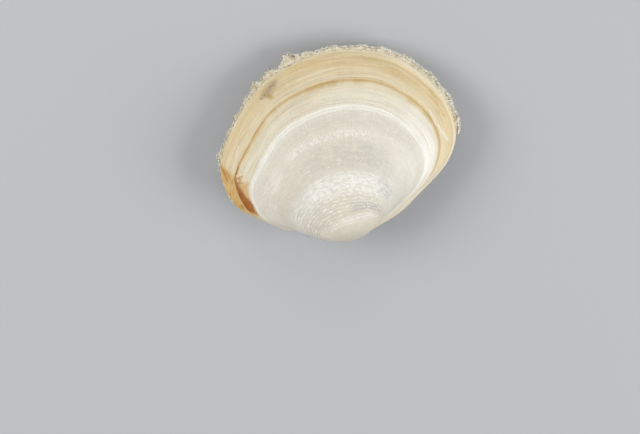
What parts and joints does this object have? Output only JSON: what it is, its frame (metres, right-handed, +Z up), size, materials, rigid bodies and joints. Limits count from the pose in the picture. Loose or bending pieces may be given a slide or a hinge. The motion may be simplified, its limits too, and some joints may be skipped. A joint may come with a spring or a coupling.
{
  "type": "tellin shell",
  "caption": "Small oval clam shell with both valves closed, low pointed beaks, fine growth rings and a crust of sand stuck along its lower edge.",
  "frame": {"origin": "on the surface that the shell lies on, under the middle of its bounding box", "axes": "+X to the shell's front (anterior) end, +Y to its lower (ventral) edge, +Z up; the shell lies on its right valve, leaning 12 degrees towards its lower edge"},
  "size_m": [0.0204, 0.0162, 0.008],
  "materials": {
    "shell": "satin",
    "ligament": "satin",
    "sand": "matte"
  },
  "bodies": {
    "root": {"left_valve": "shell", "right_valve": "shell", "ligament": "ligament", "sand_crust": "sand"}
  },
  "joints": []
}
